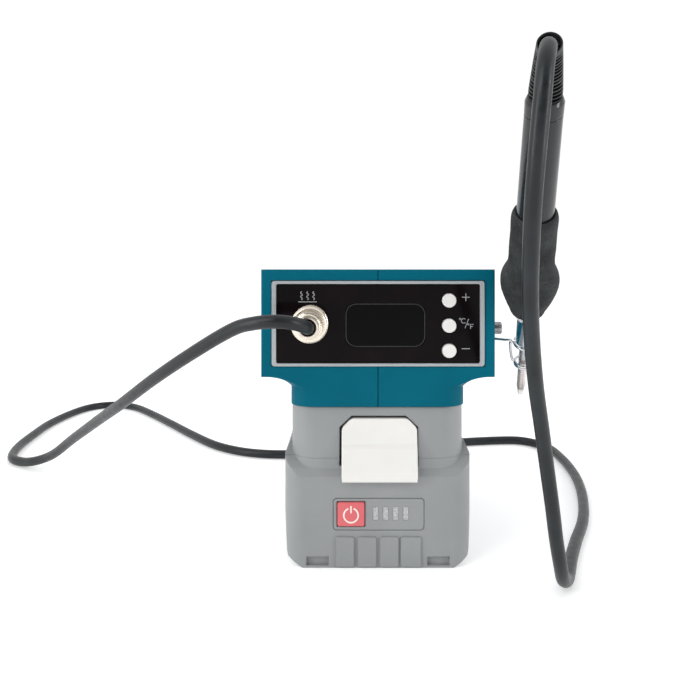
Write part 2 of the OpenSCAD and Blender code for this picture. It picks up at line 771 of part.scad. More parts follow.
module battery_screws() {
  color([0.3, 0.3, 0.3]) at_front() for (p = case_bosses) difference() {
    union() {
      translate([p[0], p[1], 4.6]) cylinder(h = 2.3, r = 2.6);
      translate([p[0], p[1], 6.8]) cylinder(h = 39.5, r = 1.25);
    }
    translate([p[0], p[1], 4]) cylinder(h = 1.8, r = 1.4, $fn = 6);
  }
}

module battery_latch() {
  color([0.92, 0.91, 0.89]) at_front() difference() {
    intersection() {
      along_y(-6, 9) translate([latch_x, 0]) polygon([
        [-15.3, latch_z0], [15.3, latch_z0], [15.5, 38], [15.5, 56.3], [14.9, 57.6], [12, 60.5], [10.8, latch_top],
        [-10.8, latch_top], [-12, 60.5], [-14.9, 57.6], [-15.5, 56.3], [-15.5, 38]
      ]);
      along_x(-20, 20) polygon([
        [-0.4, latch_z0], [-2.4, latch_z0], [-2.9, latch_z0 + 0.6], [-3.6, 39.2], [-3.4, 40.3], [-1.3, 49.4],
        [-0.5, 50.6], [0.5, 56.5], [0.8, latch_top], [7.2, latch_top], [7.2, 46.2], [-0.4, 46.2]
      ]);
    }
    for (s = [-1, 1]) translate([latch_x + s * 9, 3.7, 40]) cylinder(h = 16, r = 2.5);
  }
}

module latch_springs() {
  color([0.6, 0.6, 0.62]) at_front() for (s = [-1, 1]) translate([latch_x + s * 9, 3.7, 0])
    tube_along([for (i = [0:40]) [1.8 * cos(i * 54), 1.8 * sin(i * 54), 41.8 + i * 0.34]], 0.28, [1, 0, 0], 6);
}

// ---- iron ----

module tip_cartridge() {
  color([0.7, 0.66, 0.64]) at_front() on_iron() difference() {
    union() {
      cylinder(h = 7, r1 = 1.1, r2 = 1.95);
      translate([0, 0, 7]) cylinder(h = 32, r = 1.95);
      translate([0, 0, 38.5]) cylinder(h = 109.5, r = 2.7);
    }
    // bevel of the soldering face
    translate([0.35, -5, -1]) rotate([0, 12, 0]) cube([5, 10, 7]);
  }
}

module nose_sleeve() { color([0.7, 0.7, 0.72]) at_front() on_iron() tube_t(37, 62, 3.85, 2.78); }

module nose_ferrule() {
  color([0.72, 0.72, 0.74]) at_front() on_iron() difference() {
    translate([0, 0, 52.6]) cylinder(h = 4.4, r1 = 4.5, r2 = 6.2);
    translate([0, 0, 40]) cylinder(h = 20, r = 3.87);
    for (k = [0:17]) rotate([0, 0, 20 * k]) translate([4.4, 0, 52.1]) rotate([0, 21.1, 0]) cylinder(h = 4.6, r = 0.42, $fn = 16);
  }
}

module foam_grip() {
  color([0.03, 0.032, 0.035]) at_front() on_iron() rotate_extrude() polygon([
    [6.35, 57], [6.75, 57], [7.05, 57.3], [7.8, 60], [9.1, 63.6], [10.3, 67], [11.1, 70], [bulb_r, 72.6], [bulb_r, 75.2],
    [11, 77.4], [10.3, 79.2], [9.5, 80.9], [8.95, 82.8], [8.7, 86], [8.6, 105.8], [8.3, 107.4], [7.6, 108.4],
    [7.0, 108.6], [6.9, 108.6], [6.9, 107.9], [6.35, 107.9]
  ]);
}

module handle_shell() {
  color([0.02, 0.02, 0.022]) at_front() on_iron() difference() {
    union() {
      translate([0, 0, 57]) cylinder(h = 52, r = 6.25);
      translate([0, 0, 108]) cylinder(h = 42, r1 = 6.8, r2 = handle_r);
      // ridge along the tube
      translate([0, 0, 110]) rotate([0, 0, -25]) translate([5.2, -0.6, 0]) rotate([0, -0.6, 0]) cube([1.8, 1.2, 39.6]);
    }
    translate([0, 0, 62]) cylinder(h = 90, r = 4.9);
    translate([0, 0, 50]) cylinder(h = 20, r = 3.87);
  }
}

module handle_collar() {
  color([0.02, 0.02, 0.022]) at_front() on_iron() difference() {
    union() {
      translate([0, 0, 150]) cylinder(h = 4.4, r = 6.35);
      translate([0, 0, 154.4]) cylinder(h = 1.8, r1 = 6.35, r2 = 5.6);
    }
    translate([0, 0, 149]) cylinder(h = 5, r = 4.9);
    translate([0, 0, 149]) cylinder(h = 9, r = 3.6);
  }
}

// at angle a along the bent end of the boot
module on_bend(a) {
  translate([boot_bend_r * (1 - cos(a)), 0, boot_t + boot_bend_r * sin(a)]) rotate([0, a, 0]) children();
}

module strain_relief() {
  color([0.02, 0.02, 0.022]) at_front() on_iron() rotate([0, 0, boot_turn]) difference() {
    union() {
      translate([0, 0, 151]) cylinder(h = 7.6, r = 3.55);
      translate([0, 0, 156.2]) cylinder(h = 2.3, r = 5.4);
      translate([boot_bend_r, 0, boot_t]) rotate([90, 0, 180]) rotate_extrude(angle = boot_bend) translate([boot_bend_r, 0]) circle(3.5);
      for (k = [0:12]) on_bend(1.6 + k * (boot_bend - 3.6) / 12) cylinder(h = 0.85, r = 5.2 - 0.1 * k);
      on_bend(boot_bend) cylinder(h = 0.7, r = 3.9);
    }
    on_bend(boot_bend) translate([0, 0, -3.45]) cylinder(h = 4.2, r1 = 2.8, r2 = 3.4);
    on_bend(boot_bend) translate([0, 0, 0.6]) cylinder(h = 3, r = 3.4);
  }
}

module contact_carrier() {
  color([0.4, 0.3, 0.1]) at_front() on_iron() {
    tube_t(110, 146, 4.8, 2.78);
    translate([0, 0, 148.2]) cylinder(h = 2.6, r = 3.5);
  }
}

module cord_hanging() {
  color([0.04, 0.045, 0.05]) at_front() tube_along(hanging, cord_d / 2, [1, 0, 0]);
}

module cord_lying() {
  color([0.04, 0.045, 0.05]) at_front() tube_along(smooth(lying, 62), cord_d / 2, [0, 0, 1]);
}

housing_left();
housing_right();
housing_screws();
panel_frame();
front_panel();
display_lens();
display_module();
control_board();
tact_switches();
board_standoffs();
board_screws();
socket_body();
socket_nut();
socket_insert();
socket_pins();
terminal_block();
terminal_blades();
holder_screw();
holder_washer();
holder_wire();
plug_shell();
plug_insert();
plug_clamp();
plug_ring();
button_plus();
button_unit();
button_minus();
battery_lower_case();
battery_upper_case();
battery_cells();
cell_combs();
cell_links();
battery_board();
battery_contacts();
gauge_plate();
gauge_lights();
gauge_board();
battery_screws();
latch_springs();
battery_latch();
battery_button();
handle_shell();
handle_collar();
foam_grip();
nose_ferrule();
nose_sleeve();
strain_relief();
contact_carrier();
tip_cartridge();
cord_hanging();
cord_lying();
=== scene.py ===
"""Looks of the battery soldering station: finishes, fine shapes, floor, light and camera."""
import bpy
import bmesh
import json
import math
from mathutils import Matrix, Vector, noise

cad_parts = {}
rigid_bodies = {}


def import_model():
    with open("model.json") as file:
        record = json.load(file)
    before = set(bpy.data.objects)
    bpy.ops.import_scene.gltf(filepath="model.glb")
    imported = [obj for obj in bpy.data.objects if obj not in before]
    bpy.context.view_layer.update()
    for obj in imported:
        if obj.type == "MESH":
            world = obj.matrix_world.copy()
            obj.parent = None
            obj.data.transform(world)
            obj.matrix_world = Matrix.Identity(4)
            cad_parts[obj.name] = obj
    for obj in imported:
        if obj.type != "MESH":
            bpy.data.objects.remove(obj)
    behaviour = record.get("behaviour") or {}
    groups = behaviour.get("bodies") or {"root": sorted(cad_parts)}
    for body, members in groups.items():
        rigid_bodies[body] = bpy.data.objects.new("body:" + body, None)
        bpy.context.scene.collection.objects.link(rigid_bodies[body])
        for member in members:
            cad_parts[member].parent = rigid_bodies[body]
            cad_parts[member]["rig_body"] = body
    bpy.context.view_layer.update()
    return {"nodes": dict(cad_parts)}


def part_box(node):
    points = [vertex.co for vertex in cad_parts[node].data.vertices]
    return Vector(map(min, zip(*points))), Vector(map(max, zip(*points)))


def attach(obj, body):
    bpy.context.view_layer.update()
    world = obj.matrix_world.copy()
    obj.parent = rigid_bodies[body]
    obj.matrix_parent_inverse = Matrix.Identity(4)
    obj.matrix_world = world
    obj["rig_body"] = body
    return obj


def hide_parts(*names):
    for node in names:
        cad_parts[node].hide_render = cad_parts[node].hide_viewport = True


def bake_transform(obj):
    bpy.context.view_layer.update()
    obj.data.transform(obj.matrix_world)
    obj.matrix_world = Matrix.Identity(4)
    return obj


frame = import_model()
scene = bpy.context.scene
nodes = frame["nodes"]

MM = 0.001
FRONT_Y = -56.5  # the pack's front plane, mm
CORD_D = 5.2
WIRE_R = 0.58  # the holder's wire

# middle line of the cord in mm, y counted from the front plane, as in the part's own source
HANGING = [
    (48.2, -80.5, 190.35), (47.3, -83.4, 190.55), (46.45, -86.5, 189.9), (45.5, -89.4, 188.3),
    (44.5, -91.9, 185.8), (43.6, -93.9, 182.7), (42.9, -95.2, 179.2), (42.2, -96, 173.5),
    (41.6, -95.9, 167), (41.0, -94.4, 156.5), (40.9, -91, 145), (41.5, -86.3, 134), (43.4, -77, 118),
    (46.7, -66, 101), (50.4, -56.5, 84.5), (54.2, -49.1, 69.2), (57.5, -43.4, 54.2),
    (60.5, -39.2, 39.2), (63.1, -35.4, 25.2), (65.8, -31.2, 14.3), (68.7, -24.8, 6.4),
    (72.9, -15.8, 2.75),
]
LYING = [
    (76.5, -6.6, 2.7), (80.4, 3.8, 2.7), (88, 22, 2.7), (97, 42, 2.7), (104, 62, 2.7),
    (111, 88, 2.7), (116, 116, 2.7), (118, 146, 2.7), (116, 172, 2.7), (104, 189, 2.7),
    (84, 190, 2.7), (50, 183, 2.7), (15, 173, 2.7), (-20, 163, 2.7), (-50, 157, 2.7),
    (-75, 161, 2.7), (-98, 177, 2.7), (-120, 205, 2.7), (-143, 238, 2.7), (-166, 270, 2.7),
    (-186, 294, 2.7), (-205, 303, 2.7), (-220, 296, 2.7), (-228, 276, 2.7), (-232, 240, 2.7),
    (-230, 204, 2.7), (-226, 172, 2.7), (-218, 148, 2.7), (-203, 136, 4), (-185, 125, 11),
    (-163, 101, 27), (-139, 69, 44), (-116, 36, 60), (-94, 10, 76), (-73, -10, 90),
    (-56, -24, 100.2), (-47, -30.1, 103.2), (-39, -32.7, 104.1), (-33.2, -31.2, 103.5),
    (-29.2, -27.4, 102.0), (-27.6, -22.7, 100.7), (-27.6, -19.4, 100.6),
]

# the iron's axis: starts at the end of the tip and leans towards the front
TIP_END = Vector((67, 38 + FRONT_Y, 64))
LEAN = math.radians(42.3)
LEAN_TURN = math.radians(-98.8)

# the boot leaves that axis at BOOT_T and bends towards the front
BOOT_T = 158.5
BOOT_BEND = math.radians(32)
BOOT_BEND_R = 34.4
BOOT_TURN = math.radians(-7)


# ---- places, all in mm until a mesh is made ----

def at(x, y, z):
    """A point with y counted from the front plane."""
    return Vector((x, y + FRONT_Y, z))


IRON = Matrix.Translation(TIP_END) @ Matrix.Rotation(LEAN_TURN, 4, "Z") @ Matrix.Rotation(LEAN, 4, "Y")


def on_iron(x, y, t):
    """A point beside the iron's axis, t counted from the end of the tip."""
    return IRON @ Vector((x, y, t))


def centre(node):
    """Middle of a node's box, mm."""
    low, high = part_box(node)
    return (low + high) / 2 / MM


def corners(node):
    """Low and high corners of a node's box, mm."""
    low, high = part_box(node)
    return low / MM, high / MM


def smooth_line(points, step):
    """Points a step apart, at most, on a smooth line through the given ones."""
    out = []
    last = len(points) - 1
    for i in range(last):
        a = points[max(i - 1, 0)]
        b = points[i]
        c = points[i + 1]
        d = points[min(i + 2, last)]
        count = max(1, math.ceil((c - b).length / step))
        for k in range(count):
            t = k / count
            out.append((2 * b + (c - a) * t + (2 * a - 5 * b + 4 * c - d) * t * t
                        + (3 * b - a - 3 * c + d) * t ** 3) / 2)
    out.append(points[-1])
    return out


# ---- pieces ----

def piece(name, bm, body, finish, replaces=(), sharp=40):
    """Turns a bmesh in mm into a shown piece that rides on a body."""
    bmesh.ops.remove_doubles(bm, verts=bm.verts, dist=1e-4)
    bmesh.ops.recalc_face_normals(bm, faces=bm.faces)
    for face in bm.faces:
        face.smooth = True
    for edge in bm.edges:
        if len(edge.link_faces) == 2 and edge.calc_face_angle(0) > math.radians(sharp):
            edge.smooth = False
    bmesh.ops.scale(bm, vec=(MM, MM, MM), verts=bm.verts)
    mesh = bpy.data.meshes.new(name)
    bm.to_mesh(mesh)
    bm.free()
    mesh.materials.append(finish)
    obj = bpy.data.objects.new(name, mesh)
    scene.collection.objects.link(obj)
    if body:
        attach(obj, body)
    if replaces:
        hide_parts(*replaces)
    return obj


def rounded(node, width, finish, segments=2, angle=28):
    """The node's own shape with its edges rounded off by width, as a piece that stands for it.
    A width of 0 leaves the shape alone, and only its shading is evened out."""
    bm = bmesh.new()
    bm.from_mesh(nodes[node].data)
    bmesh.ops.scale(bm, vec=(1 / MM, 1 / MM, 1 / MM), verts=bm.verts)
    bmesh.ops.remove_doubles(bm, verts=bm.verts, dist=1e-3)
    bmesh.ops.dissolve_limit(bm, angle_limit=math.radians(0.4), verts=bm.verts, edges=bm.edges)
    if width:
        edges = [e for e in bm.edges if len(e.link_faces) == 2 and e.calc_face_angle(0) > math.radians(angle)]
        bmesh.ops.bevel(bm, geom=edges, offset=width, segments=segments, profile=0.5, affect="EDGES",
                        clamp_overlap=False, loop_slide=False)
    obj = piece(node + "_shown", bm, nodes[node]["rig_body"], finish, replaces=[node], sharp=24)
    even = obj.modifiers.new("even shading", "WEIGHTED_NORMAL")
    even.keep_sharp = True
    return obj


def add_tube(bm, line, radius, around):
    """A round tube along a line; radius may be a function of the ring's index and the angle."""
    size = radius if callable(radius) else (lambda i, angle: radius)
    side = Vector((0.1, 0, 1))
    rings = []
    count = len(line)
    for i, p in enumerate(line):
        ahead = (line[min(i + 1, count - 1)] - line[max(i - 1, 0)]).normalized()
        side = side - ahead * side.dot(ahead)
        if side.length < 1e-6:
            side = ahead.orthogonal()
        side.normalize()
        up = ahead.cross(side)
        ring = []
        for k in range(around):
            angle = 2 * math.pi * k / around
            reach = size(i, angle)
            ring.append(bm.verts.new(p + reach * (math.cos(angle) * side + math.sin(angle) * up)))
        rings.append(ring)
    for low, high in zip(rings, rings[1:]):
        for k in range(around):
            n = (k + 1) % around
            bm.faces.new((low[k], low[n], high[n], high[k]))
    bm.faces.new(rings[0][::-1])
    bm.faces.new(rings[-1])


def add_lathe(bm, profile, place, around, relief=None):
    """Turns a closed outline of (radius, height) about an axis. The relief function changes the radius by
    height and angle, and what it adds is kept as the mesh's relief attribute."""
    depth = bm.verts.layers.float.new("relief")
    rings = []
    for r, h in profile:
        ring = []
        for k in range(around):
            angle = 2 * math.pi * k / around
            out = relief(r, h, angle) if relief else 0
            vert = bm.verts.new(place((r + out) * math.cos(angle), (r + out) * math.sin(angle), h))
            vert[depth] = out
            ring.append(vert)
        rings.append(ring)
    for i in range(len(rings)):
        low = rings[i]
        high = rings[(i + 1) % len(rings)]
        for k in range(around):
            n = (k + 1) % around
            bm.faces.new((low[k], low[n], high[n], high[k]))


def finer(profile, step):
    """A closed outline with points at most a step apart."""
    out = []
    for (r0, h0), (r1, h1) in zip(profile, profile[1:] + profile[:1]):
        count = max(1, math.ceil(math.hypot(r1 - r0, h1 - h0) / step))
        for k in range(count):
            out.append((r0 + (r1 - r0) * k / count, h0 + (h1 - h0) * k / count))
    return out


def eased(profile, cut):
    """A closed outline with each corner replaced by three points on a small curve."""
    out = []
    count = len(profile)
    for i in range(count):
        p = Vector(profile[i])
        before = Vector(profile[i - 1]) - p
        after = Vector(profile[(i + 1) % count]) - p
        a = p + before.normalized() * min(cut, before.length * 0.45)
        b = p + after.normalized() * min(cut, after.length * 0.45)
        out += [tuple(a), tuple((a + b + 2 * p) / 4), tuple(b)]
    return out


def add_stroke(bm, points, width, back, thick):
    """A flat raised line in front view: points are (x, z), it stands thick proud of the plane y = back."""
    half = width / 2
    left = []
    right = []
    for i, (x, z) in enumerate(points):
        x0, z0 = points[max(i - 1, 0)]
        x1, z1 = points[min(i + 1, len(points) - 1)]
        along = Vector((x1 - x0, z1 - z0)).normalized()
        across = Vector((-along.y, along.x))
        tip = Vector((0, 0))
        if i == 0:
            tip = -along * half * 0.6
        if i == len(points) - 1:
            tip = along * half * 0.6
        left.append(Vector((x, z)) + across * half + tip)
        right.append(Vector((x, z)) - across * half + tip)
    loop = left + right[::-1]
    add_plate(bm, [(p.x, p.y) for p in loop], back, back - thick)


def add_plate(bm, outline, y_back, y_front):
    """A flat plate from a front-view outline of (x, z)."""
    backs = [bm.verts.new((x, y_back, z)) for x, z in outline]
    fronts = [bm.verts.new((x, y_front, z)) for x, z in outline]
    bm.faces.new(fronts)
    bm.faces.new(backs[::-1])
    for k in range(len(outline)):
        n = (k + 1) % len(outline)
        bm.faces.new((backs[k], backs[n], fronts[n], fronts[k]))


def arc(x, z, r, start, end, count):
    """Points of an arc in front view, angles in degrees from +x towards +z."""
    out = []
    for k in range(count + 1):
        angle = math.radians(start + (end - start) * k / count)
        out.append((x + r * math.cos(angle), z + r * math.sin(angle)))
    return out


def rounded_rect(x, z, width, height, r, count=6):
    """Points of a rounded rectangle in front view."""
    out = []
    for sx, sz, start in ((1, 1, 0), (-1, 1, 90), (-1, -1, 180), (1, -1, 270)):
        out += arc(x + sx * (width / 2 - r), z + sz * (height / 2 - r), r, start, start + 90, count)
    return out


def add_ring_plate(bm, outer, inner, y_back, y_front):
    """A flat frame between two outlines with the same number of points."""
    sets = [[bm.verts.new((x, y, z)) for x, z in line]
            for y in (y_back, y_front) for line in (outer, inner)]
    back_out, back_in, front_out, front_in = sets
    count = len(outer)
    for k in range(count):
        n = (k + 1) % count
        bm.faces.new((front_out[k], front_out[n], front_in[n], front_in[k]))
        bm.faces.new((back_out[n], back_out[k], back_in[k], back_in[n]))
        bm.faces.new((back_out[k], back_out[n], front_out[n], front_out[k]))
        bm.faces.new((back_in[n], back_in[k], front_in[k], front_in[n]))


# ---- finishes ----

class Finish:
    """A material's node tree, built by short calls. Lengths are in metres in the piece's own space."""

    def __init__(self, name, metallic=0.0, ior=1.47, coat=0.0, coat_rough=0.1, soft=0.0, shine=0.5):
        self.material = bpy.data.materials.new(name)
        self.material.use_nodes = True
        self.tree = self.material.node_tree
        self.shader = self.tree.nodes["Principled BSDF"]
        self.shader.inputs["Metallic"].default_value = metallic
        self.shader.inputs["IOR"].default_value = ior
        self.shader.inputs["Specular IOR Level"].default_value = shine
        self.shader.inputs["Coat Weight"].default_value = coat
        self.shader.inputs["Coat Roughness"].default_value = coat_rough
        self.shader.inputs["Subsurface Weight"].default_value = soft
        self.shader.inputs["Subsurface Scale"].default_value = 0.001
        self.place = self.add("ShaderNodeTexCoord").outputs["Object"]
        self.heights = []

    def soft_edges(self, radius):
        """Rounds the look of the edges, which are sharp in the shape."""
        node = self.add("ShaderNodeBevel")
        node.samples = 6
        node.inputs["Radius"].default_value = radius
        self.heights.append(node.outputs["Normal"])

    def add(self, kind):
        return self.tree.nodes.new(kind)

    def join(self, out, into):
        self.tree.links.new(out, into)

    def stretched(self, x, y, z):
        """The coordinates scaled by axis, for grain that runs one way."""
        node = self.add("ShaderNodeMapping")
        node.vector_type = "TEXTURE"
        node.inputs["Scale"].default_value = (x, y, z)
        self.join(self.place, node.inputs["Vector"])
        return node.outputs["Vector"]

    def noise(self, size, detail=2.0, roughness=0.5, place=None):
        """Noise whose features are about this size, in metres."""
        node = self.add("ShaderNodeTexNoise")
        node.inputs["Scale"].default_value = 1 / size
        node.inputs["Detail"].default_value = detail
        node.inputs["Roughness"].default_value = roughness
        self.join(place or self.place, node.inputs["Vector"])
        return node.outputs["Fac"]

    def cells(self, size, feature="F1"):
        """Distance inside cells of about this size, in metres."""
        node = self.add("ShaderNodeTexVoronoi")
        node.feature = feature
        node.inputs["Scale"].default_value = 1 / size
        self.join(self.place, node.inputs["Vector"])
        return node.outputs["Distance"]

    def span(self, value, low, high, to_low, to_high):
        """Maps low..high of a value onto to_low..to_high, held at its ends."""
        node = self.add("ShaderNodeMapRange")
        node.inputs["From Min"].default_value = low
        node.inputs["From Max"].default_value = high
        node.inputs["To Min"].default_value = to_low
        node.inputs["To Max"].default_value = to_high
        self.join(value, node.inputs["Value"])
        return node.outputs["Result"]

    def math(self, operation, a, b):
        node = self.add("ShaderNodeMath")
        node.operation = operation
        for slot, value in ((0, a), (1, b)):
            if isinstance(value, (int, float)):
                node.inputs[slot].default_value = value
            else:
                self.join(value, node.inputs[slot])
        return node.outputs[0]

    def mix(self, amount, a, b):
        """A colour between a and b."""
        node = self.add("ShaderNodeMix")
        node.data_type = "RGBA"
        self.join(amount, node.inputs[0])
        for slot, value in ((6, a), (7, b)):
            if isinstance(value, tuple):
                node.inputs[slot].default_value = (*value, 1)
            else:
                self.join(value, node.inputs[slot])
        return node.outputs[2]

    def edges(self, width):
        """1 along worn convex or concave edges, 0 on flats."""
        bevel = self.add("ShaderNodeBevel")
        bevel.samples = 4
        bevel.inputs["Radius"].default_value = width
        flat = self.add("ShaderNodeNewGeometry")
        dot = self.add("ShaderNodeVectorMath")
        dot.operation = "DOT_PRODUCT"
        self.join(bevel.outputs["Normal"], dot.inputs[0])
        self.join(flat.outputs["Normal"], dot.inputs[1])
        away = self.math("SUBTRACT", 1.0, dot.outputs["Value"])
        return self.span(away, 0.02, 0.25, 0, 1)

    def colour(self, value):
        self.join(value, self.shader.inputs["Base Color"])

    def rough(self, value):
        self.join(value, self.shader.inputs["Roughness"])

    def relief(self, value, depth, strength=1.0):
        """Adds a height layer, depth in metres."""
        node = self.add("ShaderNodeBump")
        node.inputs["Strength"].default_value = strength
        node.inputs["Distance"].default_value = depth
        self.join(value, node.inputs["Height"])
        if self.heights:
            self.join(self.heights[-1], node.inputs["Normal"])
        self.heights.append(node.outputs["Normal"])
        self.join(node.outputs["Normal"], self.shader.inputs["Normal"])


def moulded(name, base, dark, light, grain, depth, rough_low, rough_high, ior=1.4, wear=0.35, soft=0.0,
            edge=0.0004, shine=0.5):
    """Moulded plastic with a fine spark texture, slight colour drift, rubbed edges and faint scuffs."""
    f = Finish(name, ior=ior, soft=soft, shine=shine)
    f.soft_edges(edge)
    drift = f.noise(0.02, 3)
    colour = f.mix(f.span(drift, 0.3, 0.7, 0, 1), dark, base)
    worn = f.math("MULTIPLY", f.edges(0.0006), f.span(f.noise(0.0025, 4, 0.6), 0.42, 0.62, 0, wear))
    scuffs = f.span(f.noise(0.004, 5, 0.7, f.stretched(1, 1, 0.12)), 0.62, 0.72, 0, 0.22)
    colour = f.mix(f.math("MAXIMUM", worn, scuffs), colour, light)
    f.colour(colour)
    f.rough(f.span(f.noise(0.006, 4, 0.6), 0.35, 0.65, rough_low, rough_high))
    f.relief(f.noise(grain, 2, 0.6), depth)
    f.relief(f.noise(0.012, 1), 0.00006, 0.6)
    return f.material


def turned_metal(name, base, tint, rough_low, rough_high):
    """Metal with fine lines from a lathe about the y axis, tarnish and small scratches."""
    f = Finish(name, metallic=1.0)
    tarnish = f.span(f.noise(0.003, 5, 0.65), 0.35, 0.7, 0, 1)
    f.colour(f.mix(tarnish, base, tint))
    f.rough(f.span(f.noise(0.0012, 4, 0.7), 0.3, 0.7, rough_low, rough_high))
    lines = f.noise(0.00108, 2, 0.5, f.stretched(50, 1 / 6, 50))
    f.relief(lines, 0.000012, 0.5)
    f.relief(f.noise(0.0004, 3, 0.6), 0.000008, 0.5)
    return f.material


def drawn_metal(name, base, tint, rough_low, rough_high):
    """Bright wire or sheet with small pits and smears."""
    f = Finish(name, metallic=1.0)
    f.colour(f.mix(f.span(f.noise(0.002, 4, 0.6), 0.35, 0.7, 0, 1), base, tint))
    f.rough(f.span(f.noise(0.0009, 4, 0.7), 0.3, 0.7, rough_low, rough_high))
    f.relief(f.noise(0.00025, 3, 0.6), 0.00001, 0.6)
    return f.material


teal = moulded("teal_shell", (0.0005, 0.112, 0.168), (0.0005, 0.1, 0.15), (0.003, 0.165, 0.22),
               0.00022, 0.00003, 0.36, 0.5, ior=1.4, shine=0.08)
pack_grey = moulded("pack_grey", (0.272, 0.282, 0.286), (0.25, 0.26, 0.264), (0.4, 0.41, 0.42),
                    0.00026, 0.00004, 0.34, 0.5, ior=1.46, edge=0.0007)
black_plastic = moulded("black_plastic", (0.016, 0.017, 0.019), (0.012, 0.013, 0.014), (0.06, 0.06, 0.065),
                        0.0002, 0.00003, 0.35, 0.5)
white_plastic = moulded("white_plastic", (0.76, 0.75, 0.725), (0.73, 0.72, 0.695), (0.62, 0.61, 0.58),
                        0.00025, 0.00002, 0.32, 0.46, wear=0.12, soft=0.08)
red_plastic = moulded("red_button", (0.7, 0.15, 0.165), (0.64, 0.125, 0.14), (0.85, 0.4, 0.4),
                      0.0002, 0.00002, 0.34, 0.5, soft=0.06)
handle_black = moulded("handle_black", (0.012, 0.014, 0.016), (0.008, 0.01, 0.011), (0.08, 0.085, 0.09),
                       0.0006, 0.000012, 0.14, 0.24, ior=1.45, wear=0.4)


def boot_rubber():
    """Satin rubber of slightly uneven tone on its ribs, with painted shade turning the depth of its slots
    black.
    """
    f = Finish("boot_rubber", ior=1.42)
    cut = f.add("ShaderNodeAttribute")
    cut.attribute_name = "relief"
    depth = cut.outputs["Fac"]
    drift = f.span(f.noise(0.004, 4, 0.6), 0.3, 0.7, 0, 1)
    colour = f.mix(drift, (0.014, 0.018, 0.019), (0.024, 0.028, 0.03))
    # painted shade: where the relief cuts deep into a slot the colour goes near black
    f.colour(f.mix(f.span(depth, -0.35, -0.05, 0, 1), (0.0006, 0.0006, 0.0006), colour))
    f.rough(f.span(f.noise(0.002, 4, 0.6), 0.3, 0.7, 0.36, 0.52))
    f.relief(f.noise(0.0003, 3, 0.6), 0.00003, 0.6)
    return f.material


def panel_silver():
    """Painted silver frame with a fine metallic fleck."""
    f = Finish("panel_silver", metallic=0.35, coat=0.2, coat_rough=0.3)
    fleck = f.span(f.cells(0.00012), 0.1, 0.7, 0, 1)
    f.colour(f.mix(fleck, (0.44, 0.468, 0.485), (0.35, 0.375, 0.39)))
    f.rough(f.span(f.noise(0.003, 4), 0.3, 0.7, 0.32, 0.46))
    f.relief(f.noise(0.0003, 2), 0.00001)
    return f.material


def gloss_black(name, base, tint, smudge):
    """Glossy printed acrylic with faint smudges and a few specks of dust."""
    f = Finish(name, ior=1.4, shine=0.09)
    cloud = f.span(f.noise(0.018, 4, 0.6), 0.35, 0.75, 0, 1)
    dust = f.span(f.cells(0.0016), 0.0, 0.035, 1, 0)
    f.colour(f.mix(f.math("MULTIPLY", dust, 0.22), f.mix(cloud, base, tint), (0.3, 0.28, 0.26)))
    f.rough(f.span(f.noise(0.009, 5, 0.65), 0.35, 0.7, 0.07, smudge))
    f.relief(f.noise(0.006, 2), 0.00001, 0.4)
    return f.material


def printed(name, base, tint):
    """Screen-printed ink."""
    f = Finish(name)
    f.colour(f.mix(f.span(f.noise(0.0005, 4, 0.7), 0.35, 0.7, 0, 1), base, tint))
    f.rough(f.span(f.noise(0.0008, 2), 0.3, 0.7, 0.45, 0.6))
    f.relief(f.noise(0.0002, 2), 0.00001)
    return f.material


def foam():
    """Closed-cell foam: matt, with small open pores painted dark as shade in their hollows, and a paler bloom
    where hands rub it.
    """
    f = Finish("foam", ior=1.3)
    pores = f.span(f.cells(0.00055), 0.05, 0.45, 0, 1)
    bloom = f.span(f.noise(0.01, 5, 0.65), 0.35, 0.7, 0, 1)
    colour = f.mix(bloom, (0.016, 0.018, 0.019), (0.044, 0.048, 0.05))
    # painted shade: the pore hollows take a near-black colour
    f.colour(f.mix(pores, (0.006, 0.0065, 0.007), colour))
    f.rough(f.span(pores, 0, 1, 0.95, 0.78))
    f.relief(pores, 0.00016, 0.9)
    f.relief(f.noise(0.0016, 4, 0.6), 0.00016, 0.8)
    return f.material


def cord_rubber():
    """Silicone-like lead jacket: satin, a little dusty and slightly uneven."""
    f = Finish("cord_rubber", ior=1.42, shine=0.42)
    cloud = f.span(f.noise(0.012, 5, 0.6), 0.35, 0.7, 0, 1)
    colour = f.mix(cloud, (0.0075, 0.0095, 0.011), (0.015, 0.019, 0.022))
    dust = f.span(f.cells(0.0011), 0.0, 0.05, 1, 0)
    f.colour(f.mix(f.math("MULTIPLY", dust, 0.35), colour, (0.3, 0.3, 0.3)))
    f.rough(f.span(f.noise(0.003, 4, 0.6), 0.3, 0.7, 0.3, 0.46))
    f.relief(f.noise(0.00035, 3, 0.6), 0.00002, 0.6)
    f.relief(f.noise(0.004, 2), 0.00006, 0.5)
    return f.material


def tip_metal():
    """Plated tip: tinned at the end, then dulled by heat, then a warm plated bar."""
    f = Finish("tip_metal", metallic=1.0)
    axis = IRON.to_3x3() @ Vector((0, 0, 1))
    away = f.add("ShaderNodeVectorMath")
    away.operation = "SUBTRACT"
    f.join(f.place, away.inputs[0])
    away.inputs[1].default_value = TIP_END * MM
    along = f.add("ShaderNodeVectorMath")
    along.operation = "DOT_PRODUCT"
    f.join(away.outputs["Vector"], along.inputs[0])
    along.inputs[1].default_value = axis
    t = f.math("ADD", along.outputs["Value"], f.span(f.noise(0.002, 3), 0, 1, -0.001, 0.001))
    tinned = f.span(t, 0.0035, 0.0055, 0, 1)
    tint = f.span(t, 0.006, 0.014, 0, 1)
    warm = f.mix(tint, (0.5, 0.46, 0.44), (0.72, 0.67, 0.65))
    blue = f.mix(f.span(t, 0.022, 0.034, 0, 1), warm, (0.5, 0.5, 0.52))
    f.colour(f.mix(tinned, (0.8, 0.79, 0.78), blue))
    f.rough(f.span(f.noise(0.0012, 4, 0.7), 0.3, 0.7, 0.2, 0.4))
    f.relief(f.noise(0.0006, 4, 0.6), 0.00003, 0.6)
    return f.material


